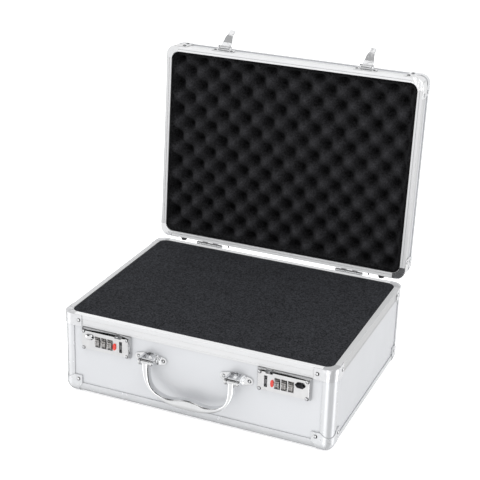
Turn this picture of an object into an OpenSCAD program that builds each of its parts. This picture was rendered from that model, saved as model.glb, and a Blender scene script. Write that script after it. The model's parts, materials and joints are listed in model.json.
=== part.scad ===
/* [Case] */
// Width across the edge extrusions
case_w = 360; // [340:2:460]
// Depth from the front to the back
case_d = 272; // [250:2:340]
// Height of the base, from its underside to its rim face
base_h = 112; // [104:0.5:140]
// Height of the lid, from its top to its rim face
lid_h = 43.5; // [43.5:0.5:60]
// Angle at which the lid stands open
open_angle = 93.5; // [80:0.5:95]

/* [Shell] */
// Thickness of the wall panels
panel_t = 4; // [3:0.5:4.5]
// Outer radius of the edge extrusions
edge_r = 12; // [11:0.5:13]
// Width of the rim around the opening
rim_w = 7; // [6.6:0.1:7.4]
// Height of the band outside the rim
band_h = 15; // [14:0.5:16]
// Leg length of the ball corners
ball_leg = 26; // [25:0.5:26.5]

/* [Handle] */
// Distance between the two handle pivots
pivot_span = 114; // [106:2:130]
// Drop from the pivots to the bottom of the grip
handle_drop = 51; // [46:1:54]
// Thickness of the grip from front to back
grip_depth = 9.5; // [8:0.5:11]

/* [Locks] */
// Distance from the middle of the case to the middle of each lock
lock_x = 118; // [114:1:122]
// Width of a lock
lock_w = 68; // [68:1:72]
// Radius of a number dial
dial_r = 7.8; // [7.4:0.1:7.9]
// Distance between neighbouring dials
dial_pitch = 8.5; // [8.3:0.1:8.8]

/* [Hinges] */
// Distance from the middle of the case to the middle of each hinge
hinge_x = 103.5; // [80:0.5:120]
// Length of a hinge barrel
hinge_len = 39; // [34:1:46]

/* [Hidden] */
$fn = 48;

// Colours
satin = [0.86, 0.87, 0.89];
skin = [0.82, 0.84, 0.87];
chrome = [0.75, 0.76, 0.78];
charcoal = [0.19, 0.19, 0.2];
egg_black = [0.06, 0.06, 0.065];
red = [0.8, 0.16, 0.12];
black = [0.08, 0.08, 0.09];

// Shell. A half shell stands on z = 0 with its rim face at z = h.
half_w = case_w / 2;
half_d = case_d / 2;
proud = 0.8;
skin_step = 1.2;
wall_in = skin_step + panel_t;
edge_t = 2;
edge_leg = edge_r + 3.5;
lip_t = 1;
flange_t = 1.6;
bracket_top_t = 1;
bracket_top_leg = 16.5;
bracket_leg = 27;
sleeve_leg = 16;
mouth_r = 12;
mouth_at = 32;
open_r = 11;
seam = 0.4;
field_step = 0.2;
field_play = 0.2;
ridge = 0.35;
groove_in = 3.7;
groove_w = 0.5;
groove_deep = 0.35;
eps = 0.1;
far = 60;

// Rivets and screws
rivet_r = 2.8;
rivet_h = 1.4;
rivet_shank_r = 1.45;
shank_play = 0.06;
ball_rivet_at = 20.5;
rim_rivet_at = 22.5;
rim_rivet_drop = 7.5;

// Small rivets, of the hinges and hasps
small = 0.8;
small_hole_r = small * rivet_shank_r + 0.04;

// Foam
foam_gap = 0.6;
foam_w = case_w - 2 * (rim_w + foam_gap);
foam_d = case_d - 2 * (rim_w + foam_gap);
foam_floor = proud + wall_in + lip_t + 0.3;
lid_foam_drop = 3;

// Hinge axis and the lid's place
hinge_y = half_d + 2.9;
hinge_z = base_h + 0.6;
barrel_r = 2.3;
hinge_pin_r = 1.1;
knuckles = 5;
knuckle_gap = 0.3;
leaf_len = 66;
leaf_t = 1;
leaf_h = 12;
leaf_drop = 2.5;
leaf_rivet_x = 28.5;
web_t = 1.1;
web_h = 5;

// Handle. The grip hangs straight down from its pivots.
pivot_x = pivot_span / 2;
pivot_y = -half_d - 13;
pivot_z = base_h - 36.5;
grip_half = pivot_x + 3.5;
leg_w = 8.2;
grip_wave = 4.5;
wave_reach = 28;
grip_min = 8.5;
grip_pin_r = 2;
knuckle_r = 4.6;
knuckle_len = 12.4;
ear_gap = 13;
ear_t = 2.5;
ear_r = 4.8;
plate_r = 8.5;
plate_end_r = 4.6;
pin_head_r = 3.2;
pin_head_h = 1;
bracket_t = 1.8;
bracket_end = 16.8;
bracket_drop = 1.5;

// Locks. A lock's own origin is the middle of its footprint, on the front panel.
lock_h = 28.5;
lock_deep = 6.7;
lock_step = 3.2;
lock_bevel = 2;
cover_t = 1.2;
lock_z = base_h - band_h - 0.3 - lock_h / 2;
panel_y = -half_d + skin_step;
screw_x = 30;
screw_z = 11.2;
dial_w = 5.6;
dial_y = -1.9;
dial_x1 = -7.2;
axle_r = 1.5;
axle_play = 0.06;
window_w = dial_w + 1.6;
window_h = 14.6;
cheek_t = 1.8;
cheek_gap = 0.4;
cheek_h = 8;
notches = 10;
axle_x = dial_x1 - dial_w / 2 - cheek_gap - cheek_t;
axle_len = 2 * dial_pitch + dial_w + 2 * (cheek_gap + cheek_t);
cutout_play = 0.6;
cavity_x = [-26, 27.5];
cavity_z = [-11, 12.6];
index_x = -13.6;
index_w = 4.4;
index_h = 9;
index_t = 1.8;
slot_x = -21.9;
slot_w = 4;
slot_h = 15;
button_x = 14.5;
button_len = 13.5;
button_z = 1.2;
button_h = 7.2;
button_rise = 2.4;
button_travel = 4;
stem_x = 19;
stem_w = 4;
stem_z = 3.4;
stem_h = 3;
stem_play = 0.3;
bolt_x = -17.4;
bolt_z = 10.4;
bolt_h = 1.8;
bolt_t = 1.1;
bolt_y = -5.3;

// Hasps, drawn latched with the lid closed
hasp_x = lock_x - 18;
hasp_open = 147;
hasp_axis_y = -half_d - 4.2;
hasp_axis_z = base_h + 13;
hasp_len = 31.7;
hasp_w = 14;
hasp_tip_w = 8;
hasp_t = 1.8;
hasp_barrel_r = 2.5;
hasp_pin_r = 1.1;
hasp_ear_x = 7.4;
hasp_ear_t = 2;
hasp_plate_w = 29;
hasp_plate_t = 1.2;
hasp_plate_h = 15;
hasp_plate_drop = 11;
hasp_rivet_x = 11.7;
hasp_rivet_drop = 5;

// Feet on the hinge side, on which the case stands while it is carried
foot_x = 147;
foot_h = 5.5;
foot_r = 5.5;
foot_taper = 2;
base_foot_z = 38;
lid_foot_drop = 8;
buffer_x = 25;
buffer_r = 1;
buffer_h = 4.5;

// ---------------------------------------------------------------- outlines

module rounded_rect(w, d, r) {
  square([w - 2 * r, d], center = true);
  square([w, d - 2 * r], center = true);
  for (sx = [-1, 1], sy = [-1, 1]) translate([sx * (w / 2 - r), sy * (d / 2 - r)]) circle(r);
}

// The outline of the case, grown by out
module outline(out) {
  rounded_rect(case_w + 2 * out, case_d + 2 * out, edge_r + out);
}

module opening() {
  rounded_rect(case_w - 2 * rim_w, case_d - 2 * rim_w, open_r);
}

module swapped(yes) {
  if (yes) mirror([1, -1, 0]) children();
  else children();
}

// An edge extrusion in section: a rounded outside with two grooves for the panels
module edge_profile() {
  difference() {
    intersection() {
      translate([edge_r, edge_r]) circle(edge_r);
      square(edge_r);
    }
    translate([edge_r, edge_r]) circle(edge_r - edge_t);
  }
  for (m = [false, true]) swapped(m) {
    translate([edge_r, 0]) square([edge_leg - edge_r, skin_step]);
    translate([edge_r, wall_in]) square([edge_leg - edge_r, lip_t]);
    translate([edge_r - lip_t, skin_step]) square([lip_t, wall_in + lip_t - skin_step]);
  }
}

// Children at each of the four corners, mirrored so that +x and +y lead inwards
module at_corners() {
  for (sx = [0, 1], sy = [0, 1])
    mirror([sx, 0, 0]) mirror([0, sy, 0]) translate([-half_w, -half_d, 0]) children();
}

// Children on both faces beside each corner, with +z leading outwards
module on_corner_faces(z, inset, out) {
  for (sx = [-1, 1], sy = [-1, 1]) {
    translate([sx * (half_w - inset), sy * (half_d + out), z])
      rotate([-90 * sy, 0, 0]) children();
    translate([sx * (half_w + out), sy * (half_d - inset), z])
      rotate([0, 90 * sx, 0]) children();
  }
}

module mirrored_pair() {
  children();
  mirror([1, 0, 0]) children();
}

// ---------------------------------------------------------------- fasteners

module dome(r, h) {
  ball = (r * r + h * h) / (2 * h);
  intersection() {
    translate([0, 0, h - ball]) sphere(ball);
    cylinder(r = r + eps, h = h);
  }
}

module rivet(shank) {
  dome(rivet_r, rivet_h);
  translate([0, 0, -shank]) cylinder(r = rivet_shank_r, h = shank + eps);
}

module rivet_hole() {
  translate([0, 0, -3]) cylinder(r = rivet_shank_r + shank_play, h = 6);
}

// A domed cross-head screw
module screw(shank) {
  difference() {
    union() {
      dome(2.6, 1.3);
      translate([0, 0, -shank]) cylinder(r = 1.4, h = shank + eps);
    }
    for (a = [0, 90]) rotate(a) translate([-1.4, -0.3, 0.6]) cube([2.8, 0.6, 1]);
  }
}

// ---------------------------------------------------------------- half shell

// The board's edges sit in the extrusions, and its field stands out a little between them
module shell_floor() {
  translate([-half_w + edge_r, -half_d + edge_r, proud + skin_step + field_step])
    cube([case_w - 2 * edge_r, case_d - 2 * edge_r, panel_t - field_step]);
  for (in = [[edge_leg, ball_leg], [ball_leg, edge_leg]]) {
    size = [case_w - 2 * (in[0] + field_play), case_d - 2 * (in[1] + field_play)];
    translate([-size[0] / 2, -size[1] / 2, proud + skin_step])
      cube([size[0], size[1], field_step + eps]);
  }
}

// The wall on the -y side
module shell_wall_long(h) {
  translate([-half_w + edge_r, -half_d + skin_step, proud + edge_r])
    cube([case_w - 2 * edge_r, panel_t, h - flange_t - proud - edge_r]);
}

// The wall on the -x side
module shell_wall_short(h) {
  translate([-half_w + skin_step, -half_d + edge_r, proud + edge_r])
    cube([panel_t, case_d - 2 * edge_r, h - flange_t - proud - edge_r]);
}

// A ring around the case between two heights, its outer face at out
module band(z0, z1, out, inn) {
  translate([0, 0, z0]) linear_extrude(z1 - z0) difference() {
    outline(out);
    outline(inn);
  }
}

module shell_rim(h) {
  difference() {
    union() {
      band(h - band_h, h - band_h + 2.2, 0, -skin_step);
      band(h - band_h + 2.2, h - 5.5, -ridge, -skin_step);
      band(h - 5.5, h - flange_t, 0, -skin_step);
      translate([0, 0, h - flange_t]) linear_extrude(flange_t) difference() {
        outline(0);
        opening();
      }
      translate([0, 0, h - 11]) linear_extrude(11 - flange_t) difference() {
        rounded_rect(case_w - 2 * wall_in, case_d - 2 * wall_in, edge_r);
        opening();
      }
    }
    at_corners() translate([-eps, -eps, h - bracket_top_t])
      cube([bracket_top_leg + eps, bracket_top_leg + eps, bracket_top_t + eps]);
  }
}

module shell_posts(h) {
  at_corners() translate([0, 0, proud + sleeve_leg])
    linear_extrude(h - band_h - proud - sleeve_leg) edge_profile();
}

module shell_edges() {
  run_x = case_w - 2 * sleeve_leg;
  run_y = case_d - 2 * sleeve_leg;
  for (s = [0, 1]) {
    mirror([0, s, 0]) translate([-run_x / 2, -half_d, proud])
      rotate([90, 0, 90]) linear_extrude(run_x) edge_profile();
    mirror([s, 0, 0]) translate([-half_w, run_y / 2, proud])
      rotate([90, 0, 0]) linear_extrude(run_y) edge_profile();
  }
}

// A corner of the case as a solid with rounded edges, grown by out
module corner_solid(out, reach) {
  run = reach - edge_r;
  r = edge_r + out;
  translate([edge_r, edge_r, edge_r]) {
    sphere(r);
    cylinder(r = r, h = run);
    rotate([0, 90, 0]) cylinder(r = r, h = run);
    rotate([-90, 0, 0]) cylinder(r = r, h = run);
    translate([0, 0, -r]) cube([run, run, r]);
    translate([0, -r, 0]) cube([run, r, run]);
    translate([-r, 0, 0]) cube([r, run, run]);
  }
}

// Children in the three turns that carry x to y to z
module three_ways() {
  children();
  rotate([90, 0, 90]) children();
  rotate([0, -90, -90]) children();
}

// A pressed three-legged corner: each mouth curves round the extrusion it covers
module ball_corner() {
  pad = ball_leg - edge_leg;
  difference() {
    union() {
      difference() {
        corner_solid(proud, ball_leg);
        corner_solid(0, far);
        three_ways() rotate([0, 0, 45]) translate([-far / 2, 0, mouth_at])
          rotate([0, 90, 0]) cylinder(r = mouth_r, h = far);
      }
      three_ways() translate([edge_leg, edge_leg, 0]) cube([pad, pad, skin_step]);
    }
    translate([ball_rivet_at, 0, ball_rivet_at]) rotate([90, 0, 0]) rivet_hole();
    translate([0, ball_rivet_at, ball_rivet_at]) rotate([0, 90, 0]) rivet_hole();
  }
}

module shell_ball_corners() {
  at_corners() translate([0, 0, proud]) ball_corner();
}

module shell_rim_corners(h) {
  skirt = band_h + 1;
  difference() {
    union() {
      intersection() {
        band(h - skirt, h, proud, 0);
        at_corners() translate([-1, -1, h - skirt - 1])
          cube([bracket_leg + 1, bracket_leg + 1, skirt + 2]);
      }
      intersection() {
        translate([0, 0, h - bracket_top_t]) linear_extrude(bracket_top_t) difference() {
          outline(proud);
          opening();
        }
        at_corners() translate([-1, -1, h - 2])
          cube([bracket_top_leg + 1, bracket_top_leg + 1, 4]);
      }
    }
    on_corner_faces(h - rim_rivet_drop, rim_rivet_at, 0) rivet_hole();
  }
}

module shell_rivets(h) {
  on_corner_faces(proud + ball_rivet_at, ball_rivet_at, proud) rivet(proud + skin_step);
  on_corner_faces(h - rim_rivet_drop, rim_rivet_at, proud) rivet(proud);
}

// Rivets of a hinge leaf, with the leaf's middle at z
module leaf_rivets(z) {
  for (s = [-1, 1]) mirrored_pair() translate([hinge_x + s * leaf_rivet_x, half_d + leaf_t, z])
    rotate([-90, 0, 0]) scale(small) rivet(leaf_t);
}

// ---------------------------------------------------------------- base

module base_floor_panel() { color(skin) shell_floor(); }

module base_front_panel() {
  color(skin) difference() {
    shell_wall_long(base_h);
    mirrored_pair()
      translate([lock_x + axle_x - cutout_play, -half_d, lock_z - dial_r - cutout_play])
        cube([axle_len + 2 * cutout_play, 2 * panel_t, 2 * (dial_r + cutout_play)]);
  }
}

module base_back_panel() { color(skin) mirror([0, 1, 0]) shell_wall_long(base_h); }
module base_left_panel() { color(skin) shell_wall_short(base_h); }
module base_right_panel() { color(skin) mirror([1, 0, 0]) shell_wall_short(base_h); }
module base_rim() { color(satin) shell_rim(base_h); }
module base_corner_posts() { color(satin) shell_posts(base_h); }
module base_bottom_edges() { color(satin) shell_edges(); }
module base_ball_corners() { color(satin) shell_ball_corners(); }
module base_rim_corners() { color(chrome) shell_rim_corners(base_h); }

module base_rivets() {
  color(chrome) {
    shell_rivets(base_h);
    leaf_rivets(base_h - leaf_drop - leaf_h / 2);
  }
}

module base_foam() {
  color(charcoal) translate([0, 0, foam_floor])
    linear_extrude(base_h - 0.5 - foam_floor) rounded_rect(foam_w, foam_d, open_r - foam_gap);
}

// Two tapered feet on the hinge side, at height z, seated at a depth under the edge extrusions
module shell_feet(z, seat) {
  mirrored_pair() translate([foot_x, half_d - seat, z]) rotate([-90, 0, 0])
    cylinder(r1 = foot_r, r2 = foot_r - foot_taper, h = foot_h + seat);
}

module base_feet() { color(black) shell_feet(base_foot_z, skin_step); }

// ---------------------------------------------------------------- handle

module handle_bracket() {
  difference() {
    union() {
      translate([pivot_x, panel_y, pivot_z - bracket_drop]) rotate([90, 0, 0])
        linear_extrude(bracket_t) hull() {
          circle(plate_r);
          for (s = [-1, 1]) translate([s * bracket_end, 0]) circle(plate_end_r);
        }
      for (s = [-1, 1]) translate([pivot_x + s * (ear_gap + ear_t) / 2, 0, 0]) {
        translate([-ear_t / 2, pivot_y, pivot_z]) rotate([0, 90, 0])
          cylinder(r = ear_r, h = ear_t);
        translate([-ear_t / 2, pivot_y, pivot_z - ear_r])
          cube([ear_t, panel_y - bracket_t - pivot_y + eps, 2 * ear_r]);
      }
    }
    translate([pivot_x - far / 2, pivot_y, pivot_z]) rotate([0, 90, 0])
      cylinder(r = grip_pin_r + 0.03, h = far);
    for (s = [-1, 1])
      translate([pivot_x + s * bracket_end, panel_y, pivot_z - bracket_drop])
        rotate([90, 0, 0]) cylinder(r = 1.5, h = 2 * far, center = true);
  }
}

module handle_bracket_left() { color(chrome) mirror([1, 0, 0]) handle_bracket(); }
module handle_bracket_right() { color(chrome) handle_bracket(); }

module handle_pins() {
  pin_len = ear_gap + 2 * ear_t;
  color(chrome) mirrored_pair() translate([pivot_x - pin_len / 2, pivot_y, pivot_z])
    rotate([0, 90, 0]) {
      cylinder(r = grip_pin_r, h = pin_len);
      for (z = [-pin_head_h, pin_len]) translate([0, 0, z]) cylinder(r = pin_head_r, h = pin_head_h);
    }
}

module bracket_screws() {
  color(chrome) mirrored_pair() for (s = [-1, 1])
    translate([pivot_x + s * bracket_end, panel_y - bracket_t, pivot_z - bracket_drop])
      rotate([90, 0, 0]) screw(bracket_t);
}

// The grip's edges, as heights over x: a bow outside and a wave inside
function bow(x, a, b, n) = -b * pow(max(0, 1 - pow(abs(x) / a, n)), 1 / n);
function wave(x) = abs(x) < wave_reach ? grip_wave * (1 + cos(180 * x / wave_reach)) / 2 : 0;
steps = 36;
// Points crowd towards the ends, where the edges turn upwards
function spread(i, a) = a * sin(-90 + 180 * i / steps);
outer_edge = [for (i = [0 : steps]) let (x = spread(i, grip_half))
  [x, bow(x, grip_half, handle_drop, 2.6)]];
inner_half = grip_half - leg_w;
inner_drop = handle_drop - grip_min;
inner_edge = [for (i = [steps : -1 : 0]) let (x = spread(i, inner_half))
  [x, bow(x, inner_half, inner_drop, 4) + wave(x)]];

module handle_grip() {
  color(chrome) difference() {
    union() {
      translate([0, pivot_y + grip_depth / 2, pivot_z]) rotate([90, 0, 0])
        linear_extrude(grip_depth) polygon(concat(outer_edge, inner_edge));
      mirrored_pair() translate([pivot_x - knuckle_len / 2, pivot_y, pivot_z])
        rotate([0, 90, 0]) cylinder(r = knuckle_r, h = knuckle_len);
    }
    translate([-half_w, pivot_y, pivot_z]) rotate([0, 90, 0])
      cylinder(r = grip_pin_r + shank_play, h = case_w);
  }
}

// ---------------------------------------------------------------- locks

// Places a lock part, side 1 for the right lock and -1 for the left one
module lock_place(side) {
  mirror([side < 0 ? 1 : 0, 0, 0]) translate([lock_x, panel_y, lock_z]) children();
}

module lock_corners() {
  for (sx = [-1, 1], sz = [-1, 1]) translate([sx * screw_x, 0, sz * screw_z]) children();
}

module lock_case(side) {
  top = lock_h / 2;
  color(satin) lock_place(side) difference() {
    union() {
      difference() {
        hull() {
          translate([-lock_w / 2, -lock_step, -top]) cube([lock_w, lock_step, lock_h]);
          translate([-lock_w / 2 + lock_bevel, -lock_deep, -top + lock_bevel])
            cube([lock_w - 2 * lock_bevel, lock_deep, lock_h - 2 * lock_bevel]);
        }
        translate([cavity_x[0], -lock_deep + cover_t, cavity_z[0]])
          cube([cavity_x[1] - cavity_x[0], lock_deep, cavity_z[1] - cavity_z[0]]);
      }
      for (x = [axle_x, axle_x + axle_len - cheek_t])
        translate([x, -lock_deep + cover_t - eps, -cheek_h / 2])
          cube([cheek_t, lock_deep - 1, cheek_h]);
    }
    // Windows for the dials
    for (i = [0 : 2])
      translate([dial_x1 + i * dial_pitch - window_w / 2, -lock_deep - 1, -window_h / 2])
        cube([window_w, cover_t + 1.5, window_h]);
    // Slot of the reset lever
    translate([slot_x - slot_w / 2, -lock_deep - 1, -slot_h / 2])
      cube([slot_w, cover_t + 1.5, slot_h]);
    // Slot of the release button's stem
    translate([stem_x - stem_play, -lock_deep - 1, stem_z - stem_play])
      cube([stem_w + button_travel + 2 * stem_play, cover_t + 1.5, stem_h + 2 * stem_play]);
    // Notch that takes the tip of the hasp
    translate([hasp_x - lock_x - hasp_tip_w / 2 - 0.5, -lock_deep - 1, bolt_z])
      cube([hasp_tip_w + 1, lock_deep - 0.6, top]);
    // Axle and screw holes
    translate([-far / 2, dial_y, 0]) rotate([0, 90, 0])
      cylinder(r = axle_r + 0.03, h = far);
    lock_corners() rotate([90, 0, 0]) cylinder(r = 1.5, h = far, center = true);
  }
}

module lock_case_left() { lock_case(-1); }
module lock_case_right() { lock_case(1); }

module lock_screws() {
  color(chrome) for (side = [-1, 1]) lock_place(side) lock_corners()
    translate([0, -lock_deep, 0]) rotate([90, 0, 0]) screw(lock_deep);
}

module lock_index(side) {
  r = index_w / 2;
  run = index_h - index_w;
  color(red) lock_place(side) translate([index_x, -lock_deep, -1]) rotate([90, 0, 0]) {
    for (s = [-1, 1]) translate([0, s * run / 2, 0]) cylinder(r = r, h = index_t);
    translate([-r, -run / 2, 0]) cube([index_w, run, index_t]);
  }
}

module lock_index_left() { lock_index(-1); }
module lock_index_right() { lock_index(1); }

module dial_axle(side) {
  color(chrome) lock_place(side) translate([axle_x, dial_y, 0]) rotate([0, 90, 0])
    cylinder(r = axle_r, h = axle_len);
}

module dial_axle_left() { dial_axle(-1); }
module dial_axle_right() { dial_axle(1); }

// A number dial with a finger notch between each two numbers
module dial(side, i) {
  color(chrome) lock_place(side)
    translate([dial_x1 + (i - 1) * dial_pitch - dial_w / 2, dial_y, 0]) rotate([0, 90, 0])
      difference() {
        cylinder(r = dial_r, h = dial_w);
        translate([0, 0, -1]) cylinder(r = axle_r + axle_play, h = dial_w + 2);
        for (k = [0 : notches - 1]) rotate(360 / notches * k)
          translate([dial_r + 0.3, 0, -1]) cylinder(r = 0.9, h = dial_w + 2);
      }
}

module dial_left_1() { dial(-1, 1); }
module dial_left_2() { dial(-1, 2); }
module dial_left_3() { dial(-1, 3); }
module dial_right_1() { dial(1, 1); }
module dial_right_2() { dial(1, 2); }
module dial_right_3() { dial(1, 3); }

// A six-sided plate with pointed ends, its outline drawn in by inset
module button_plate(inset, point, t) {
  half = button_h / 2 - inset;
  end = button_len / 2 - inset;
  rotate([90, 0, 0]) linear_extrude(t) polygon([
    [-end, 0], [-end + point, -half], [end - point, -half],
    [end, 0], [end - point, half], [-end + point, half]]);
}

// The button, its stem and the bolt behind the cover that holds the hasp
module release_button(side) {
  slope = 1.5;
  point = 3.2;
  gap = 0.2;
  flange = 0.8;
  color(chrome) lock_place(side) {
    hull() translate([button_x + button_len / 2, -lock_deep - gap, button_z + button_h / 2]) {
      button_plate(0, point, flange);
      button_plate(slope, point, button_rise - gap);
    }
    translate([stem_x, -lock_deep - 0.6, stem_z])
      cube([stem_w, 0.6 + lock_deep + bolt_y, stem_h]);
    translate([stem_x - 2, bolt_y, stem_z])
      cube([stem_w + 2, bolt_t, bolt_z + bolt_h - stem_z]);
    translate([bolt_x, bolt_y, bolt_z]) cube([stem_x + stem_w - bolt_x, bolt_t, bolt_h]);
  }
}

module release_button_left() { release_button(-1); }
module release_button_right() { release_button(1); }

// The lever slides up and down behind the cover and shows in its slot
module reset_lever(side) {
  color(chrome) lock_place(side) translate([slot_x, 0, 0]) {
    translate([-1.7, -lock_deep + 0.3, -3]) cube([3.4, 1.2, 6]);
    translate([-2.7, bolt_y, -4.4]) cube([5.4, 1, 8.8]);
  }
}

module reset_lever_left() { reset_lever(-1); }
module reset_lever_right() { reset_lever(1); }

// ---------------------------------------------------------------- hinges

knuckle_len_hinge = hinge_len / knuckles;

// One leaf with every second knuckle, from knuckle number first; the pin's axis is x
module hinge_leaf(first) {
  difference() {
    union() {
      translate([-leaf_len / 2, half_d - hinge_y, -(hinge_z - base_h) - leaf_drop - leaf_h])
        cube([leaf_len, leaf_t, leaf_h]);
      for (k = [first : 2 : knuckles - 1])
        translate([-hinge_len / 2 + k * knuckle_len_hinge + knuckle_gap / 2, 0, 0]) {
          rotate([0, 90, 0]) cylinder(r = barrel_r, h = knuckle_len_hinge - knuckle_gap);
          translate([0, -barrel_r, -web_h])
            cube([knuckle_len_hinge - knuckle_gap, web_t, web_h]);
        }
    }
    translate([-far, 0, 0]) rotate([0, 90, 0])
      cylinder(r = hinge_pin_r + 0.05, h = 2 * far);
    for (s = [-1, 1])
      translate([s * leaf_rivet_x, 0, -(hinge_z - base_h) - leaf_drop - leaf_h / 2])
        rotate([90, 0, 0]) cylinder(r = small_hole_r, h = far, center = true);
  }
}

module hinge_base_leaf(s) {
  color(chrome) translate([s * hinge_x, hinge_y, hinge_z]) hinge_leaf(0);
}

module hinge_base_leaf_left() { hinge_base_leaf(-1); }
module hinge_base_leaf_right() { hinge_base_leaf(1); }

module hinge_pin(s) {
  color(chrome) translate([s * hinge_x - hinge_len / 2, hinge_y, hinge_z])
    rotate([0, 90, 0]) cylinder(r = hinge_pin_r, h = hinge_len);
}

module hinge_pin_left() { hinge_pin(-1); }
module hinge_pin_right() { hinge_pin(1); }

// ---------------------------------------------------------------- lid

// Swings what is drawn closed up to the open lid
module lid_swing() {
  translate([0, hinge_y, hinge_z]) rotate([-open_angle, 0, 0])
    translate([0, -hinge_y, -hinge_z]) children();
}

// Turns a half shell over onto the base, then swings it open
module lid_place() {
  lid_swing() translate([0, 0, base_h + seam + lid_h]) mirror([0, 0, 1]) children();
}

module lid_top_panel() { color(skin) lid_place() shell_floor(); }
module lid_front_panel() { color(skin) lid_place() shell_wall_long(lid_h); }
module lid_back_panel() { color(skin) lid_place() mirror([0, 1, 0]) shell_wall_long(lid_h); }
module lid_left_panel() { color(skin) lid_place() shell_wall_short(lid_h); }
module lid_right_panel() { color(skin) lid_place() mirror([1, 0, 0]) shell_wall_short(lid_h); }

// The lid's rim has a fine groove along its face
module lid_rim() {
  color(satin) lid_place() difference() {
    shell_rim(lid_h);
    translate([0, 0, lid_h - groove_deep]) linear_extrude(1) difference() {
      outline(-groove_in);
      outline(-groove_in - groove_w);
    }
  }
}

module lid_corner_posts() { color(satin) lid_place() shell_posts(lid_h); }
module lid_top_edges() { color(satin) lid_place() shell_edges(); }
module lid_ball_corners() { color(satin) lid_place() shell_ball_corners(); }
module lid_rim_corners() { color(chrome) lid_place() shell_rim_corners(lid_h); }

module lid_rivets() {
  color(chrome) {
    lid_place() shell_rivets(lid_h);
    lid_swing() leaf_rivets(2 * hinge_z - base_h + leaf_drop + leaf_h / 2);
    lid_swing() mirrored_pair() for (s = [-1, 1])
      translate([hasp_x + s * hasp_rivet_x, -half_d - hasp_plate_t, hasp_axis_z - hasp_rivet_drop])
        rotate([90, 0, 0]) scale(small) rivet(hasp_plate_t);
  }
}

module lid_foam() {
  color(egg_black) lid_place() translate([0, 0, foam_floor])
    linear_extrude(lid_h - lid_foam_drop - foam_floor)
      rounded_rect(foam_w, foam_d, open_r - foam_gap);
}

// The lid's feet, and a small buffer on each hinge leaf
module lid_feet() {
  color(black) {
    lid_place() shell_feet(lid_h - lid_foot_drop, 0);
    lid_swing() for (s = [-1, 1])
      translate([s * hinge_x + buffer_x, half_d + leaf_t,
        2 * hinge_z - base_h + leaf_drop + leaf_h / 2])
        rotate([-90, 0, 0]) cylinder(r = buffer_r, h = buffer_h);
  }
}

module hinge_lid_leaf(s) {
  color(chrome) lid_swing() translate([s * hinge_x, hinge_y, hinge_z])
    mirror([0, 0, 1]) hinge_leaf(1);
}

module hinge_lid_leaf_left() { hinge_lid_leaf(-1); }
module hinge_lid_leaf_right() { hinge_lid_leaf(1); }

// ---------------------------------------------------------------- hasps

module hasp_place(side) {
  lid_swing() mirror([side < 0 ? 1 : 0, 0, 0])
    translate([hasp_x, hasp_axis_y, hasp_axis_z]) children();
}

module hasp_mount(side) {
  plate_y = -half_d - hasp_plate_t - hasp_axis_y;
  color(chrome) hasp_place(side) difference() {
    union() {
      translate([-hasp_plate_w / 2, plate_y, -hasp_plate_drop])
        cube([hasp_plate_w, hasp_plate_t, hasp_plate_h]);
      for (s = [-1, 1]) translate([s * (hasp_ear_x + hasp_ear_t / 2) - hasp_ear_t / 2, 0, 0]) {
        rotate([0, 90, 0]) cylinder(r = hasp_barrel_r, h = hasp_ear_t);
        translate([0, 0, -hasp_barrel_r]) cube([hasp_ear_t, plate_y + eps, 2 * hasp_barrel_r]);
      }
    }
    translate([-far / 2, 0, 0]) rotate([0, 90, 0]) cylinder(r = hasp_pin_r + 0.03, h = far);
    for (s = [-1, 1]) translate([s * hasp_rivet_x, 0, -hasp_rivet_drop]) rotate([90, 0, 0])
      cylinder(r = small_hole_r, h = far, center = true);
  }
}

module hasp_mount_left() { hasp_mount(-1); }
module hasp_mount_right() { hasp_mount(1); }

module hasp_pins() {
  len = 2 * (hasp_ear_x + hasp_ear_t);
  color(chrome) for (side = [-1, 1]) hasp_place(side) translate([-len / 2, 0, 0])
    rotate([0, 90, 0]) cylinder(r = hasp_pin_r, h = len);
}

// A sprung hasp: a barrel on the pin and a tongue that steps in towards the case
module hasp(side) {
  out_y = -1;
  in_y = -half_d - 0.8 - hasp_axis_y - hasp_t;
  step_z = -12;
  ridge_z = -28;
  shoulder_z = -8;
  neck_z = -24;
  root = hasp_w / 2;
  tip = hasp_tip_w / 2;
  color(chrome) hasp_place(side) rotate([-hasp_open, 0, 0]) difference() {
    union() {
      intersection() {
        translate([-far / 2, 0, 0]) rotate([90, 0, 90]) linear_extrude(far) polygon([
          [out_y, 0], [out_y, step_z], [in_y, step_z - 5], [in_y, ridge_z + 3],
          [out_y, ridge_z], [in_y, ridge_z - 1.5], [in_y, -hasp_len],
          [in_y + hasp_t, -hasp_len], [in_y + hasp_t, step_z - 4.5],
          [out_y + hasp_t, step_z + 0.5], [out_y + hasp_t, 0]
        ]);
        translate([0, far / 2, 0]) rotate([90, 0, 0]) linear_extrude(far) polygon([
          [-root, 0], [-root, shoulder_z], [-tip, neck_z], [-tip, -hasp_len],
          [tip, -hasp_len], [tip, neck_z], [root, shoulder_z], [root, 0]
        ]);
      }
      translate([-hasp_w / 2, 0, 0]) rotate([0, 90, 0]) cylinder(r = hasp_barrel_r, h = hasp_w);
    }
    translate([-far / 2, 0, 0]) rotate([0, 90, 0]) cylinder(r = hasp_pin_r + 0.05, h = far);
  }
}

module hasp_left() { hasp(-1); }
module hasp_right() { hasp(1); }

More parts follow.
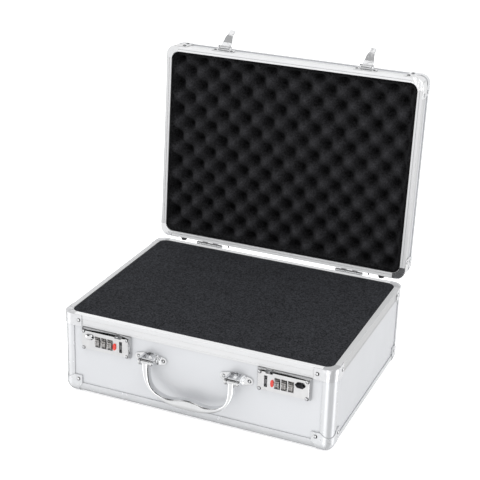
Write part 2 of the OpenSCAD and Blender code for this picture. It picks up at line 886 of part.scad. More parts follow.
base_floor_panel();
base_front_panel();
base_back_panel();
base_left_panel();
base_right_panel();
base_rim();
base_corner_posts();
base_bottom_edges();
base_ball_corners();
base_rim_corners();
base_rivets();
base_foam();
base_feet();
handle_bracket_left();
handle_bracket_right();
handle_pins();
bracket_screws();
handle_grip();
lock_case_left();
lock_case_right();
lock_screws();
lock_index_left();
lock_index_right();
dial_axle_left();
dial_axle_right();
dial_left_1();
dial_left_2();
dial_left_3();
dial_right_1();
dial_right_2();
dial_right_3();
release_button_left();
release_button_right();
reset_lever_left();
reset_lever_right();
hinge_base_leaf_left();
hinge_base_leaf_right();
hinge_pin_left();
hinge_pin_right();
lid_top_panel();
lid_front_panel();
lid_back_panel();
lid_left_panel();
lid_right_panel();
lid_rim();
lid_corner_posts();
lid_top_edges();
lid_ball_corners();
lid_rim_corners();
lid_rivets();
lid_foam();
lid_feet();
hinge_lid_leaf_left();
hinge_lid_leaf_right();
hasp_mount_left();
hasp_mount_right();
hasp_pins();
hasp_left();
hasp_right();
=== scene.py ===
import json
import math

import bmesh
import bpy
import numpy as np
from mathutils import Matrix, Vector, noise


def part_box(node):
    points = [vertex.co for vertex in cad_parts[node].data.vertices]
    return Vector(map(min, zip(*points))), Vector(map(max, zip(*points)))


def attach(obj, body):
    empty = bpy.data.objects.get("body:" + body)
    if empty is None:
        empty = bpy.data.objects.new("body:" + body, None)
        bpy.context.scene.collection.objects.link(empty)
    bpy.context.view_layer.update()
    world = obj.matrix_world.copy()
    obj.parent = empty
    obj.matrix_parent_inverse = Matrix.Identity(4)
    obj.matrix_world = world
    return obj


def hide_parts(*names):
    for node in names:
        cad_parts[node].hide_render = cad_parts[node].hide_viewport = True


# An open aluminium attache case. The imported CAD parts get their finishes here, and the foam, the
# handle, the index tabs and the dials' numbers are modelled around them. Lengths are in metres.
MM = 0.001
UP = Vector((0, 0, 1))
SIDES = ("left", "right")
SHARP = math.radians(35)  # Edges sharper than this stay edges
NOISE_RANGE = (0.3, 0.7)  # Where nearly all of a noise texture's values lie
SEAM_RANGE = (0.35, 0.95)  # Ambient occlusion deep in a seam, and out in the open
FOAM_CORNER = 10.4 * MM

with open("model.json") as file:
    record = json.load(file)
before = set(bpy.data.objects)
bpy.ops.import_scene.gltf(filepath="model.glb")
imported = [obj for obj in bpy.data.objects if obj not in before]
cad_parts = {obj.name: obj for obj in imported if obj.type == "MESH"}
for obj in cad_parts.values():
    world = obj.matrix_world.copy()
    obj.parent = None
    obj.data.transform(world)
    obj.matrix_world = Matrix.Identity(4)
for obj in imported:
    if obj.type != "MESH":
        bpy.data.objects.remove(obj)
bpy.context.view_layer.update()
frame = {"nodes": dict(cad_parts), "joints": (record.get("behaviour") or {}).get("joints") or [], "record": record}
nodes = frame["nodes"]
joints = {j["name"]: j for j in frame["joints"]}


# ---------------------------------------------------------------- finishes


def fill(tree, socket, value):
    """Links a socket to another one, or gives it a constant."""
    if isinstance(value, bpy.types.NodeSocket):
        tree.links.new(value, socket)
    else:
        socket.default_value = value


def add_node(tree, kind, inputs=None, **settings):
    """Adds a shader node with its settings and inputs."""
    node = tree.nodes.new("ShaderNode" + kind)
    for key, value in settings.items():
        setattr(node, key, value)
    for key, value in (inputs or {}).items():
        fill(tree, node.inputs[key], value)
    return node


def blend(tree, kind, a, b):
    """Joins two colours in a blend mode, at full strength."""
    node = add_node(tree, "Mix", {0: 1.0}, data_type="RGBA", blend_type=kind)
    fill(tree, node.inputs["A"], a)
    fill(tree, node.inputs["B"], b)
    return node.outputs["Result"]


class Look:
    """A material on one Principled shader, with short calls that add nodes to it."""

    def __init__(self, name, colour, metallic=0.0, roughness=0.5, **sockets):
        self.material = bpy.data.materials.new(name)
        self.material.use_nodes = True
        self.tree = self.material.node_tree
        self.shader = self.tree.nodes["Principled BSDF"]
        self.colour = colour
        self.set("Base Color", (*colour, 1))
        self.set("Metallic", metallic)
        self.set("Roughness", roughness)
        for key, value in sockets.items():
            self.set(key.replace("_", " "), value)
        own = self.add("TexCoord").outputs
        self.place = own["Object"]
        self.own_normal = own["Normal"]
        self.normal = None

    def set(self, socket, value):
        fill(self.tree, self.shader.inputs[socket], value)

    def add(self, kind, inputs=None, **settings):
        return add_node(self.tree, kind, inputs, **settings)

    def math(self, operation, a, b=0.0):
        return self.add("Math", {0: a, 1: b}, operation=operation).outputs[0]

    def noise(self, size, detail=3.0, stretch=(1, 1, 1), rough=0.55):
        """Noise whose grains are about size across, drawn out by stretch along each axis."""
        scale = [1 / (size * s) for s in stretch]
        place = self.add("Mapping", {"Vector": self.place, "Scale": scale}).outputs[0]
        wanted = {"Vector": place, "Scale": 1.0, "Detail": detail, "Roughness": rough}
        return self.add("TexNoise", wanted).outputs["Fac"]

    def cells(self, size):
        """Distance from the middle of cells that are about size across, as in a foam."""
        wanted = {"Vector": self.place, "Scale": 1 / size}
        return self.add("TexVoronoi", wanted).outputs["Distance"]

    def span(self, value, low, high, start=0.0, end=1.0):
        """value, taken from start..end to low..high."""
        wanted = {"Value": value, "From Min": start, "From Max": end, "To Min": low, "To Max": high}
        return self.add("MapRange", wanted).outputs[0]

    def drift(self, low, high, size, **how):
        """A value that wanders between low and high over patches about size across."""
        return self.span(self.noise(size, **how), low, high, *NOISE_RANGE)

    def facing(self, way, start, end):
        """1 where the surface faces a direction of its own object, and 0 where it turns away.

        start and end are the cosines at which it begins and is complete."""
        turned = self.add("VectorMath", {0: self.own_normal, 1: way}, operation="DOT_PRODUCT")
        return self.span(turned.outputs["Value"], 0, 1, start, end)

    def tint(self, factor, low, high):
        """Colours the surface from low to high times its own colour, as factor goes from 0 to 1."""
        mix = self.add("Mix", {0: factor}, data_type="RGBA", clamp_factor=False)
        for key, share in (("A", low), ("B", high)):
            fill(self.tree, mix.inputs[key], (*(c * share for c in self.colour), 1))
        self.set("Base Color", mix.outputs["Result"])

    def cloudy(self, low, high, size):
        """Slow change of colour over a surface, as handling and the metal's own grain leave it."""
        self.tint(self.drift(0, 1, size, detail=4), low, high)

    def multiply(self, share):
        """Multiplies the colour that tint gave the surface by a share."""
        before = self.shader.inputs["Base Color"].links[0].from_socket
        self.set("Base Color", blend(self.tree, "MULTIPLY", before, share))

    def crevices(self, reach, low):
        """Paints shade into the colour in seams that are about reach wide, from ambient occlusion, down to low
        times itself.
        """
        seen = self.add("AmbientOcclusion", {"Distance": reach}, samples=8).outputs["AO"]
        self.multiply(self.span(seen, low, 1.0, *SEAM_RANGE))

    def bump(self, height, depth):
        """Raises the surface by height times depth, over what earlier bumps did."""
        wanted = {"Height": height, "Distance": depth}
        if self.normal is not None:
            wanted["Normal"] = self.normal
        self.normal = self.add("Bump", wanted).outputs["Normal"]
        self.set("Normal", self.normal)


def panel_metal(axis):
    """Satin aluminium sheet with a fine grain along one axis."""
    look = Look("satin_sheet_" + axis, (0.64, 0.65, 0.67), metallic=0.35, roughness=0.42)
    along = {"x": (60, 1, 1), "y": (1, 60, 1)}[axis]
    look.cloudy(0.975, 1.01, size=90 * MM)
    # Painted shade in the seams
    look.crevices(2.5 * MM, 0.8)
    look.set("Roughness", look.drift(0.38, 0.48, 60 * MM))
    look.bump(look.noise(0.25 * MM, detail=2, stretch=along), 0.012 * MM)
    look.bump(look.noise(3 * MM, detail=2), 0.02 * MM)
    return look.material


def satin_metal(name, colour, roughness, metallic=1.0):
    """Blasted and anodised or plated metal: slow changes of sheen, and a faint unevenness."""
    look = Look(name, colour, metallic=metallic, roughness=roughness)
    look.cloudy(0.955, 1.02, size=30 * MM)
    # Painted shade in the seams
    look.crevices(2 * MM, 0.72)
    look.set("Roughness", look.drift(roughness - 0.05, roughness + 0.06, 12 * MM, detail=4))
    look.bump(look.noise(2.2 * MM, detail=1), 0.008 * MM)
    return look.material


def rim_metal(name, out, painted_face_light, painted_side_shade):
    """Anodised extrusion: painted light makes its out face paler than the duller band, and painted shade darkens
    its side lengths, standing for their brushed sheen turned from the light.
    """
    look = Look(name, (0.88, 0.885, 0.895), metallic=0.12, roughness=0.34)
    face = look.facing(out, 0.9, 0.98)
    clouds = look.drift(-0.06, 0.06, 30 * MM, detail=4)
    # Painted light: the face turned out is coloured paler than the band
    look.tint(look.math("ADD", face, clouds), 0.75, painted_face_light)
    half_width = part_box("base_rim")[1].x
    across = look.math("ABSOLUTE", look.add("SeparateXYZ", {0: look.place}).outputs["X"])
    # Painted shade: the side lengths of the frame are coloured darker
    look.multiply(look.span(across, 1.0, painted_side_shade, half_width - 12 * MM, half_width - 11.5 * MM))
    # Painted shade in the seams
    look.crevices(1.6 * MM, 0.4)
    look.set("Roughness", look.drift(0.3, 0.4, 12 * MM, detail=4))
    look.bump(look.noise(2.5 * MM, detail=2), 0.01 * MM)
    return look.material


def polished_metal(name, colour, roughness, metallic=1.0, waves=0.03 * MM):
    """Bright plating with faint smears and hairline scratches, over metal pressed in soft waves."""
    look = Look(name, colour, metallic=metallic, roughness=roughness)
    look.cloudy(0.95, 1.0, size=10 * MM)
    smears = look.drift(roughness * 0.7, roughness * 1.6, 6 * MM, detail=5, stretch=(2, 1, 1))
    look.set("Roughness", smears)
    look.bump(look.noise(0.12 * MM, detail=1, stretch=(40, 1, 6)), 0.002 * MM)
    look.bump(look.noise(4 * MM, detail=1), waves)
    return look.material


def lock_metal():
    """Satin plating on the lock's face, which turns bright on its sloped sides."""
    look = Look("lock_plating", (0.69, 0.69, 0.695), metallic=1.0, roughness=0.24)
    front = look.facing((0, -1, 0), 0.93, 0.99)
    satin = look.drift(0.26, 0.36, 10 * MM, detail=4)
    look.set("Roughness", look.math("MAXIMUM", look.math("MULTIPLY", satin, front), 0.09))
    look.cloudy(0.95, 1.02, size=12 * MM)
    look.bump(look.noise(0.2 * MM, detail=2, stretch=(30, 1, 1)), 0.006 * MM)
    return look.material


def foam(name, colour, cell, depth, crests=0.0, painted_pit_shade=0.0):
    """Open-cell foam: small pits between thin walls, with painted shade in its hollows and painted light on its
    crests where these are asked for.
    """
    look = Look(name, colour, roughness=1.0, Sheen_Weight=0.03, Sheen_Roughness=0.6,
                Sheen_Tint=(0.55, 0.56, 0.6, 1), Specular_IOR_Level=0.1)
    speckle = look.span(look.noise(cell * 2.2, detail=2, rough=0.8), -0.3, 1.3, 0.36, 0.64)
    clouds = look.noise(30 * MM)
    mixed = look.math("ADD", look.math("MULTIPLY", speckle, 0.7), look.math("MULTIPLY", clouds, 0.3))
    # Painted light and shade: the crest value lightens the colour on the crests and darkens it in the pits
    crest = look.add("Attribute", attribute_name="crest").outputs["Fac"]
    mixed = look.math("ADD", mixed, look.span(crest, painted_pit_shade, painted_pit_shade + crests))
    look.tint(mixed, 0.3, 1.7)
    look.bump(look.cells(cell), depth)
    look.bump(look.noise(cell * 4), depth * 1.5)
    return look.material


def plain(name, colour, roughness, grain, depth, **sockets):
    """Moulded plastic or rubber with a faint texture."""
    look = Look(name, colour, roughness=roughness, **sockets)
    look.cloudy(0.85, 1.1, size=6 * MM)
    look.set("Roughness", look.drift(roughness * 0.8, roughness * 1.2, 2 * MM))
    look.bump(look.noise(grain, detail=2), depth)
    return look.material


CHROME = (0.80, 0.805, 0.815)
FINISHES = {
    "panel_aluminium": panel_metal("x"),
    "extrusion_aluminium": satin_metal("anodised_extrusion", (0.63, 0.64, 0.655), 0.22, metallic=0.3),
    "corner_metal": satin_metal("satin_nickel", (0.66, 0.67, 0.685), 0.28, metallic=0.36),
    "chrome": polished_metal("bright_chrome", CHROME, 0.05),
    "lock_satin": lock_metal(),
    "dial_metal": satin_metal("dial_nickel", (0.50, 0.485, 0.475), 0.16),
    "steel": satin_metal("drawn_steel", (0.6, 0.6, 0.61), 0.22),
    "red_plastic": plain("red_plastic", (0.72, 0.045, 0.03), 0.25, 0.4 * MM, 0.01 * MM,
                         Coat_Weight=0.4, Coat_Roughness=0.1),
    "foam_charcoal": foam("charcoal_foam", (0.0205, 0.0214, 0.0245), 0.9 * MM, 0.25 * MM),
    # The black foam's crests get painted light and its pits painted shade
    "foam_black": foam("black_foam", (0.0118, 0.0118, 0.013), 0.9 * MM, 0.25 * MM,
                       crests=1.35, painted_pit_shade=-0.62),
    "black_rubber": plain("black_rubber", (0.018, 0.018, 0.02), 0.6, 0.5 * MM, 0.03 * MM),
}
NOT_METAL = ("foam_charcoal", "foam_black", "black_rubber", "red_plastic")
INK = plain("number_ink", (0.012, 0.012, 0.014), 0.4, 0.2 * MM, 0.004 * MM)

# The way out of the lid, where it stands open
LID_OUT = Matrix.Rotation(-math.radians(joints["lid_hinge"]["range_deg"][1]), 3, "X") @ -UP

# Nodes that differ from the finish of their slot
GROUPS = [
    (panel_metal("y"),
     ["base_left_panel", "base_right_panel", "lid_left_panel", "lid_right_panel"]),
    # After the way out: the painted light on the rim's face, then the painted shade on its side lengths
    (rim_metal("base_rim_extrusion", UP, 0.88, 0.72), ["base_rim"]),
    (rim_metal("lid_rim_extrusion", LID_OUT, 0.78, 0.85), ["lid_rim"]),
    # The right release button is chrome like the left; its near-black colour is a painted dark reflection
    (polished_metal("chrome_with_painted_dark_reflection", (0.03, 0.03, 0.033), 0.12), ["release_button_right"]),
    (polished_metal("rivet_chrome", (0.55, 0.555, 0.565), 0.1),
     ["base_rivets", "lid_rivets", "bracket_screws", "lock_screws"]),
    (satin_metal("oiled_steel", (0.16, 0.16, 0.165), 0.25),
     ["reset_lever_left", "reset_lever_right"]),
    (polished_metal("pressed_chrome", CHROME, 0.08, 0.92, waves=0.3 * MM),
     ["lid_rim_corners", "hasp_mount_left", "hasp_mount_right", "handle_bracket_left",
      "handle_bracket_right"]),
    (polished_metal("hasp_chrome", (0.78, 0.785, 0.795), 0.08, 0.65, waves=0.4 * MM),
     ["hasp_left", "hasp_right"]),
    (polished_metal("worn_chrome", (0.70, 0.705, 0.72), 0.14, 0.45, waves=0.3 * MM),
     ["base_rim_corners"]),
]
SPECIAL = {name: look for look, names in GROUPS for name in names}


def finish_nodes():
    """Gives every CAD node the finish that the record names, and a fine bevel to its metal edges."""
    slots = {p["node"]: p["material_slot"] for p in frame["record"]["subparts"]}
    for name, node in nodes.items():
        look = SPECIAL.get(name) or FINISHES[slots[name]]
        for slot in node.material_slots:
            slot.material = look
        if slots[name] not in NOT_METAL:
            soften(node)


def soften(node):
    """Joins the split corners of a CAD mesh and rounds its sharp edges a little."""
    weld = node.modifiers.new("weld", "WELD")
    weld.merge_threshold = 0.001 * MM
    bevel = node.modifiers.new("edges", "BEVEL")
    bevel.width = 0.22 * MM
    bevel.segments = 2
    bevel.limit_method = "ANGLE"
    bevel.angle_limit = SHARP
    bevel.use_clamp_overlap = True
    normals = node.modifiers.new("normals", "WEIGHTED_NORMAL")
    normals.mode = "FACE_AREA"
    normals.weight = 60


# ---------------------------------------------------------------- pieces


def in_scene(name, data):
    """Adds an object with some data to the scene."""
    made = bpy.data.objects.new(name, data)
    bpy.context.scene.collection.objects.link(made)
    return made


def to_data(name, mesh_from):
    """Turns a bmesh into a mesh."""
    mesh = bpy.data.meshes.new(name)
    mesh_from.to_mesh(mesh)
    mesh_from.free()
    return mesh


def piece(name, mesh_from, body, slot, material=None, sharp=SHARP):
    """Makes an object of a bmesh, shades it, and lets it ride on a body."""
    mesh = to_data(name, mesh_from)
    made = in_scene(name, mesh)
    mesh.shade_smooth()
    mesh.set_sharp_from_angle(angle=sharp)
    mesh.materials.append(material or FINISHES[slot])
    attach(made, body)
    return made


def evaluated(made):
    """A new mesh of an object as it looks with its modifiers."""
    graph = bpy.context.evaluated_depsgraph_get()
    return bpy.data.meshes.new_from_object(made.evaluated_get(graph))


def boolean(made, tool, operation):
    """Joins a tool's solid to a piece or cuts it out, and removes the tool."""
    change = made.modifiers.new(operation, "BOOLEAN")
    change.operation = operation
    change.object = tool
    change.solver = "EXACT"
    mesh = evaluated(made)
    made.modifiers.clear()
    made.data = mesh
    bpy.data.objects.remove(tool)


def skin(mesh, rings):
    """Closes a row of rings, which all have the same number of corners, into a solid."""
    for ring, following in zip(rings, rings[1:]):
        for i in range(len(ring)):
            j = (i + 1) % len(ring)
            mesh.faces.new((ring[i], ring[j], following[j], following[i]))
    mesh.faces.new(rings[0][::-1])
    mesh.faces.new(rings[-1])
    bmesh.ops.recalc_face_normals(mesh, faces=mesh.faces)


def reach(node, axis):
    """How far a CAD node reaches along an axis: its lowest and highest value."""
    values = [v.co.dot(axis) for v in nodes[node].data.vertices]
    return min(values), max(values)


# ---------------------------------------------------------------- foam


class Block:
    """The space of a foam block: its middle, its sides across and along, and the way it faces."""

    def __init__(self, node, along, out):
        self.axes = (Vector((1, 0, 0)), along, out)
        spans = [reach(node, axis) for axis in self.axes]
        self.half = [(high - low) / 2 for low, high in spans[:2]]
        self.middle = [(high + low) / 2 for low, high in spans[:2]]
        self.bottom, self.top = spans[2]

    def point(self, x, y, height):
        x_axis, y_axis, out = self.axes
        return x_axis * (self.middle[0] + x) + y_axis * (self.middle[1] + y) + out * height


def grid_lines(half, step, edge):
    """Lines across a side, close together near its two ends."""
    count = max(2, round(2 * (half - edge[-1]) / step))
    inner = list(np.linspace(-half + edge[-1], half - edge[-1], count + 1))
    start = [-half + e for e in edge[:-1]]
    return start + inner + [-v for v in reversed(start)]


def rounded(x, y, half):
    """Moves a point of a rectangle so that the rectangle's corners become round."""
    core = [h - FOAM_CORNER for h in half]
    over = [max(0.0, abs(v) - c) / FOAM_CORNER for v, c in zip((x, y), core)]
    p, q = over[0] * math.sqrt(1 - over[1] ** 2 / 2), over[1] * math.sqrt(1 - over[0] ** 2 / 2)
    new_x = math.copysign(core[0] + FOAM_CORNER * p, x) if over[0] else x
    new_y = math.copysign(core[1] + FOAM_CORNER * q, y) if over[1] else y
    return new_x, new_y


def from_edge(x, y, half):
    """Distance from a point inside a rounded rectangle to its edge."""
    dx, dy = (abs(v) - h + FOAM_CORNER for v, h in zip((x, y), half))
    outside = math.hypot(max(dx, 0), max(dy, 0))
    return FOAM_CORNER - outside - min(max(dx, dy), 0)


def foam_block(block, surface, step, roll, raised, depth=None):
    """A closed foam block whose face lies surface(x, y) below its top, with rolled edges.

    step is the face's grid, roll the edges' radius, and raised how far the face stands over the
    CAD block. With a depth, the crest attribute goes from 0 in the pits to 1 on the crests."""
    mesh = bmesh.new()
    crest = mesh.verts.layers.float.new("crest")
    # How far in from the edge the painted shade along the foam's edge reaches
    edge_shade_width = 12 * MM
    edge = [share * roll for share in (0, 0.15, 0.4, 0.7, 1)]
    lines = [grid_lines(h, step, edge) for h in block.half]
    rows = []
    for y in lines[1]:
        row = []
        for x in lines[0]:
            px, py = rounded(x, y, block.half)
            inside = from_edge(px, py, block.half)
            near = max(0.0, roll - inside)
            drop = roll - math.sqrt(max(0.0, roll ** 2 - near ** 2))
            sunk = surface(px, py)
            height = block.top + raised - drop - sunk
            made = mesh.verts.new(block.point(px, py, max(height, block.bottom + roll)))
            if depth:
                # Painted shade along the edge: near it the crest value falls to 0, so the foam there takes the
                # pits' darker colour
                made[crest] = max(0.0, 1 - sunk / depth) * min(1.0, inside / edge_shade_width)
            row.append(made)
        rows.append(row)
    for lower, upper in zip(rows, rows[1:]):
        for i in range(len(lower) - 1):
            mesh.faces.new((lower[i], lower[i + 1], upper[i + 1], upper[i]))
    rim = rows[0] + [r[-1] for r in rows[1:-1]] + rows[-1][::-1] + [r[0] for r in rows[-2:0:-1]]
    out = block.axes[2]
    base = [mesh.verts.new(v.co - out * (v.co.dot(out) - block.bottom)) for v in rim]
    for i, v in enumerate(rim):
        j = (i + 1) % len(rim)
        mesh.faces.new((rim[j], v, base[i], base[j]))
    mesh.faces.new(base[::-1])
    bmesh.ops.recalc_face_normals(mesh, faces=mesh.faces)
    return mesh


def base_foam():
    block = Block("base_foam", Vector((0, 1, 0)), UP)

    def surface(x, y):
        """A little unevenness, within half a millimetre."""
        return 0.25 * MM * (1 + noise.noise(Vector((x, y, 3)) * 18))

    mesh = foam_block(block, surface, step=5 * MM, roll=0.5 * MM, raised=0.5 * MM)
    made = piece("base_foam_block", mesh, "base", "foam_charcoal")
    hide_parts("base_foam")


def lid_foam():
    """Egg-crate foam: domes and pits that take turns in both directions."""
    block = Block("lid_foam", LID_OUT.cross(Vector((1, 0, 0))), LID_OUT)
    pitch_x, pitch_y = 33.5 * MM, 37 * MM
    start_x, start_y = 4.75 * MM, -8 * MM
    depth = 20 * MM
    border, lip_width = 1.5 * MM, 7 * MM

    def surface(x, y):
        """How deep the face lies: nothing at the border, and the whole pattern past the lip."""
        across = math.cos(2 * math.pi * (x - start_x) / pitch_x)
        along = math.cos(2 * math.pi * (y - start_y) / pitch_y)
        uneven = 0.05 * noise.noise(Vector((x, y, 7)) * 40)
        share = min(1.0, max(0.0, (1 - across * along) / 2 + uneven))
        lip = min(1.0, max(0.0, (from_edge(x, y, block.half) - border) / lip_width))
        return depth * share ** 1.1 * lip * lip * (3 - 2 * lip)

    mesh = foam_block(block, surface, step=1.7 * MM, roll=0.6 * MM, raised=2.4 * MM, depth=depth)
    made = piece("lid_egg_crate_foam", mesh, "lid", "foam_black", sharp=math.radians(60))
    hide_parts("lid_foam")


# ---------------------------------------------------------------- handle


def bow(x, half, drop, power):
    """Depth of a rounded U at x, as part of a superellipse."""
    return -drop * max(0.0, 1 - (abs(x) / half) ** power) ** (1 / power)


def section(outer, inner, front, back, pivot):
    """Points round the grip where it is cut from its outer to its inner edge.

    The two outer corners are rounded by cut and the two inner ones by slope."""
    across = inner - outer
    width = across.length
    across.normalize()
    cut = min(1.5 * MM, width / 4)
    slope = min(2.6 * MM, width / 3)
    ring = [
        (cut, front),
        (cut * 0.45, front + cut * 0.12),
        (cut * 0.12, front + cut * 0.45),
        (0, front + cut),
        (0, back - cut),
        (cut * 0.12, back - cut * 0.45),
        (cut * 0.45, back - cut * 0.12),
        (cut, back),
        (width - slope, back),
        (width - slope * 0.5, back - slope * 0.1),
        (width - slope * 0.1, back - slope * 0.5),
        (width, back - slope),
        (width, front + slope * 0.9),
        (width - slope * 0.12, front + slope * 0.5),
        (width - slope * 0.5, front + slope * 0.14),
        (width - slope, front),
    ]
    return [outer + across * a + Vector((0, b, 0)) + pivot for a, b in ring]


def handle_grip():
    """The cast grip: a U with a wave for the fingers, and a barrel on each leg for the pivot."""
    low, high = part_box("handle_grip")
    joint = Vector(joints["handle_swing"]["pos_m"])
    pivot = Vector((0, joint.y, joint.z))
    barrel_len = 12.4 * MM
    barrel_r = 4.6 * MM
    bore_r = 2.06 * MM
    pivot_x = high.x - barrel_len / 2
    half = pivot_x + 3.5 * MM
    drop = joint.z - low.z
    leg_width = 8.2 * MM
    bar_height = 8.5 * MM
    thick = 9.5 * MM
    outer_power, inner_power = 2.6, 4
    wave_reach, wave_rise = 28 * MM, 4.5 * MM
    steps = 110
    mesh = bmesh.new()
    rings = []
    for i in range(steps + 1):
        turn = math.sin(math.radians(-90 + 180 * i / steps))
        x_out, x_in = half * turn, (half - leg_width) * turn
        rise = 0.0
        if abs(x_in) < wave_reach:
            rise = wave_rise * (1 + math.cos(math.pi * x_in / wave_reach)) / 2
        outer = Vector((x_out, 0, bow(x_out, half, drop, outer_power)))
        depth = bow(x_in, half - leg_width, drop - bar_height, inner_power)
        inner = Vector((x_in, 0, depth + rise))
        points = section(outer, inner, -thick / 2, thick / 2, pivot)
        rings.append([mesh.verts.new(p) for p in points])
    skin(mesh, rings)
    made = piece("handle_grip_casting", mesh, "handle", "chrome")
    for side in (-1, 1):
        boolean(made, barrel(side * pivot_x, pivot, barrel_len, barrel_r), "UNION")
        boolean(made, barrel(side * pivot_x, pivot, barrel_len * 2, bore_r), "DIFFERENCE")
    made.data.shade_smooth()
    made.data.set_sharp_from_angle(angle=SHARP)
    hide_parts("handle_grip")


def barrel(x, pivot, length, radius):
    """A closed round bar along X with chamfered ends, as a tool for the grip."""
    mesh = bmesh.new()
    chamfer = 0.5 * MM
    stations = [(-length / 2, radius - chamfer), (-length / 2 + chamfer, radius),
                (length / 2 - chamfer, radius), (length / 2, radius - chamfer)]
    count = 48
    turns = [2 * math.pi * k / count for k in range(count)]
    rings = []
    for along, r in stations:
        ring = [Vector((x + along, r * math.cos(t), r * math.sin(t))) for t in turns]
        rings.append([mesh.verts.new(pivot + p) for p in ring])
    skin(mesh, rings)
    return in_scene("barrel", to_data("barrel", mesh))


# ---------------------------------------------------------------- locks


def index_tab(side):
    """The red tab beside the dials, domed and rounded all round."""
    low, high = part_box("lock_index_" + side)
    centre = (low + high) / 2
    half_x, half_z = (high.x - low.x) / 2, (high.z - low.z) / 2
    mesh = bmesh.new()
    count = 40
    power = 0.8
    # Share of the height, and share of the width that is left there
    levels = [(0.0, 1.0), (0.45, 1.0), (0.75, 0.93), (0.92, 0.78), (1.0, 0.5), (1.04, 0.2)]
    rings = []
    for height, size in levels:
        y = high.y - (high.y - low.y) * height
        ring = []
        for k in range(count):
            t = 2 * math.pi * k / count
            c, s = math.cos(t), math.sin(t)
            x = half_x * size * math.copysign(abs(c) ** power, c)
            z = (half_z - half_x * (1 - size)) * math.copysign(abs(s) ** power, s)
            ring.append(mesh.verts.new((centre.x + x, y, centre.z + z)))
        rings.append(ring)
    skin(mesh, rings)
    made = piece("index_tab_" + side, mesh, "base", "red_plastic", sharp=math.radians(50))
    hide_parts("lock_index_" + side)


def digit_mesh(digit, height):
    """One numeral as a thin closed mesh in its own plane, cut into strips so that it can bend."""
    curve = bpy.data.curves.new("digit", "FONT")
    curve.body = str(digit)
    curve.align_x = "CENTER"
    curve.align_y = "CENTER"
    curve.size = height * 1.4
    curve.extrude = 0.03 * MM
    curve.resolution_u = 4
    curve.offset = 0.06 * MM
    made = in_scene("digit", curve)
    mesh = bmesh.new()
    mesh.from_mesh(evaluated(made))
    bpy.data.objects.remove(made)
    cuts = 11
    for level in np.linspace(-0.5, 0.5, cuts):
        everything = mesh.verts[:] + mesh.edges[:] + mesh.faces[:]
        at = (0, height * level, 0)
        bmesh.ops.bisect_plane(mesh, geom=everything, plane_co=at, plane_no=(0, 1, 0))
    return mesh


def dial_numbers():
    """Ten numerals round each dial, the one in front standing upright."""
    count = 10
    lift = 0.01 * MM
    digits = {}
    for digit in range(count):
        source = digit_mesh(digit, 2.6 * MM)
        faces = [[v.index for v in f.verts] for f in source.faces]
        source.verts.ensure_lookup_table()
        digits[digit] = ([v.co.copy() for v in source.verts], faces)
        source.free()
    shown = {"left": (0, 7, 3), "right": (0, 0, 0)}
    for side in SIDES:
        for i in (1, 2, 3):
            node = f"dial_{side}_{i}"
            low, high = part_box(node)
            centre = (low + high) / 2
            radius = max(high.y - low.y, high.z - low.z) / 2
            mesh = bmesh.new()
            for step in range(count):
                points, faces = digits[(shown[side][i - 1] + step) % count]
                start = math.radians(360 / count * step)
                made = []
                for p in points:
                    r = radius + lift + p.z
                    t = start + p.y / radius
                    y, z = centre.y - r * math.cos(t), centre.z + r * math.sin(t)
                    made.append(mesh.verts.new((centre.x + p.x, y, z)))
                for face in faces:
                    mesh.faces.new([made[k] for k in face])
            piece(node + "_numbers", mesh, node, "dial_metal", material=INK)


# ---------------------------------------------------------------- studio


def studio():
    """A pale table, a soft key from the front, a wide light overhead, and a bright sky."""
    floor = bpy.data.meshes.new("floor")
    half = 6.0
    corners = [(-half, -half, 0), (half, -half, 0), (half, half, 0), (-half, half, 0)]
    floor.from_pydata(corners, [], [(0, 1, 2, 3)])
    made = in_scene("floor", floor)
    look = Look("pale_table", (0.93, 0.93, 0.935), roughness=0.9, Specular_IOR_Level=0.1,
                Emission_Color=(1, 1, 1, 1))
    # The table glows for the eye, so that no shadow shows, but lights nothing
    seen = look.add("LightPath").outputs["Is Camera Ray"]
    look.set("Emission Strength", look.math("MULTIPLY", seen, 0.5))
    floor.materials.append(look.material)
    made.visible_glossy = False
    middle = Vector((0, 0, 0.15))

    def lamp(name, place, size, power):
        """A square area light of a side's length and a power in watts, aimed at the case."""
        data = bpy.data.lights.new(name, "AREA")
        data.shape = "RECTANGLE"
        data.size = data.size_y = size
        data.energy = power
        made = in_scene(name, data)
        made.location = place
        made.rotation_mode = "QUATERNION"
        made.rotation_quaternion = (middle - Vector(place)).to_track_quat("-Z", "Y")
        made.visible_glossy = False

    lamp("key", (0.3, -1.6, 1.3), 1.4, 5)
    lamp("overhead", (0.1, -0.4, 1.9), 1.6, 11)
    sky()


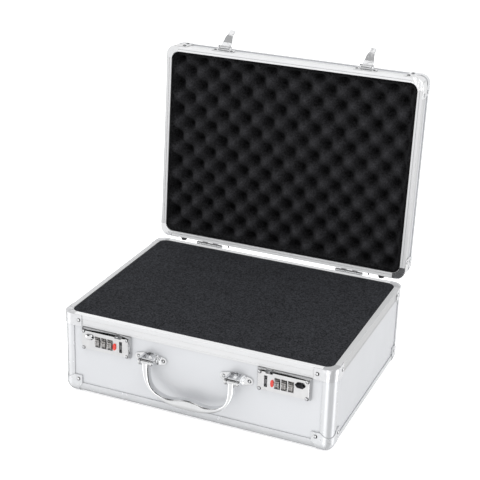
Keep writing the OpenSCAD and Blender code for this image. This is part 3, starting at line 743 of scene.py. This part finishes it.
def sky():
    """Even white for the camera and for soft light; mirror-like metal sees softboxes and flags."""
    world = bpy.data.worlds.new("studio")
    bpy.context.scene.world = world
    world.use_nodes = True
    world.cycles.sampling_method = "NONE"
    tree = world.node_tree
    tree.nodes.clear()

    def add(kind, inputs=None, **settings):
        return add_node(tree, kind, inputs, **settings)

    def compute(operation, a, b=0.0):
        return add("Math", {0: a, 1: b}, operation=operation).outputs[0]

    def strips(value, low, high, stops):
        """Greys that change with a value which goes from low to high."""
        node = add("ValToRGB")
        ramp = node.color_ramp
        while len(ramp.elements) < len(stops):
            ramp.elements.new(0.5)
        for element, (at, grey) in zip(ramp.elements, stops):
            element.position = (at - low) / (high - low)
            element.color = (grey, grey, grey, 1)
        share = add("MapRange", {"Value": value, "From Min": low, "From Max": high})
        tree.links.new(share.outputs[0], node.inputs[0])
        return node.outputs[0]

    split = add("SeparateXYZ", {0: add("TexCoord").outputs["Generated"]}).outputs
    front = compute("MULTIPLY", split["Y"], -1.0)
    degrees = compute("DEGREES", compute("ARCTAN2", split["X"], front))
    # Degrees to the right of straight in front of the case
    around = strips(degrees, -180, 180, [
        (-180, 0.4), (-120, 0.4), (-108, 0.03), (-96, 0.03), (-86, 0.72), (-45, 0.72), (-36, 0.42),
        (-14, 0.42), (-6, 1.0), (18, 1.0), (28, 0.14), (41, 0.02), (76, 0.02), (82, 0.2), (89, 0.2),
        (95, 1.0), (118, 1.0), (128, 0.42), (180, 0.4)])
    # Sine of the height above the horizon
    above = strips(split["Z"], -1, 1, [
        (-1, 0.3), (-0.88, 0.4), (-0.6, 0.8), (-0.48, 1.0), (0.04, 1.0), (0.07, 0.5), (0.1, 1.0),
        (0.4, 1.0), (0.46, 0.02), (0.66, 0.02), (0.68, 0.75), (0.77, 0.75), (0.79, 0.02),
        (0.968, 0.02), (0.978, 0.8), (1, 0.8)])
    # One more softbox, high up behind on the left
    behind = strips(degrees, -180, 180, [(-180, 1.0), (-114, 1.0), (-108, 0.0), (180, 0.0)])
    high = strips(split["Z"], -1, 1, [
        (-1, 0.0), (0.8, 0.0), (0.82, 0.42), (0.94, 0.42), (0.955, 0.0), (1, 0.0)])

    frames = blend(tree, "MULTIPLY", around, above)
    pattern = blend(tree, "ADD", frames, blend(tree, "MULTIPLY", behind, high))
    mirror_sky = add("Background", {0: pattern, 1: 2.4})
    soft_sky = add("Background", {0: (1, 1, 1, 1), 1: 1.08})
    glossy = add("LightPath").outputs["Is Glossy Ray"]
    mix = add("MixShader", {0: glossy, 1: soft_sky.outputs[0], 2: mirror_sky.outputs[0]})
    add("OutputWorld", {0: mix.outputs[0]})


def camera():
    """Stands in front of the case, to its right and above, as a photographer would."""
    data = bpy.data.cameras.new("camera")
    made = in_scene("camera", data)
    data.lens = 92.87
    data.sensor_width = 36
    data.clip_start, data.clip_end = 0.1, 30
    azimuth, elevation, roll = (math.radians(a) for a in (-22.3933, 22.6348, 1.7648))
    level = math.cos(elevation)
    ahead = Vector((math.sin(azimuth) * level, math.cos(azimuth) * level, -math.sin(elevation)))
    right = ahead.cross(UP).normalized()
    above = right.cross(ahead)
    side = right * math.cos(roll) + above * math.sin(roll)
    top = above * math.cos(roll) - right * math.sin(roll)
    turn = Matrix((side, top, -ahead)).transposed()
    place = (0.55046, -1.33645, 0.79376)
    made.matrix_world = Matrix.Translation(place) @ turn.to_4x4()
    bpy.context.scene.camera = made
    bpy.context.scene.view_settings.view_transform = "Standard"


# ---------------------------------------------------------------- the scene


camera()
studio()
finish_nodes()
base_foam()
lid_foam()
handle_grip()
dial_numbers()
for side in SIDES:
    index_tab(side)
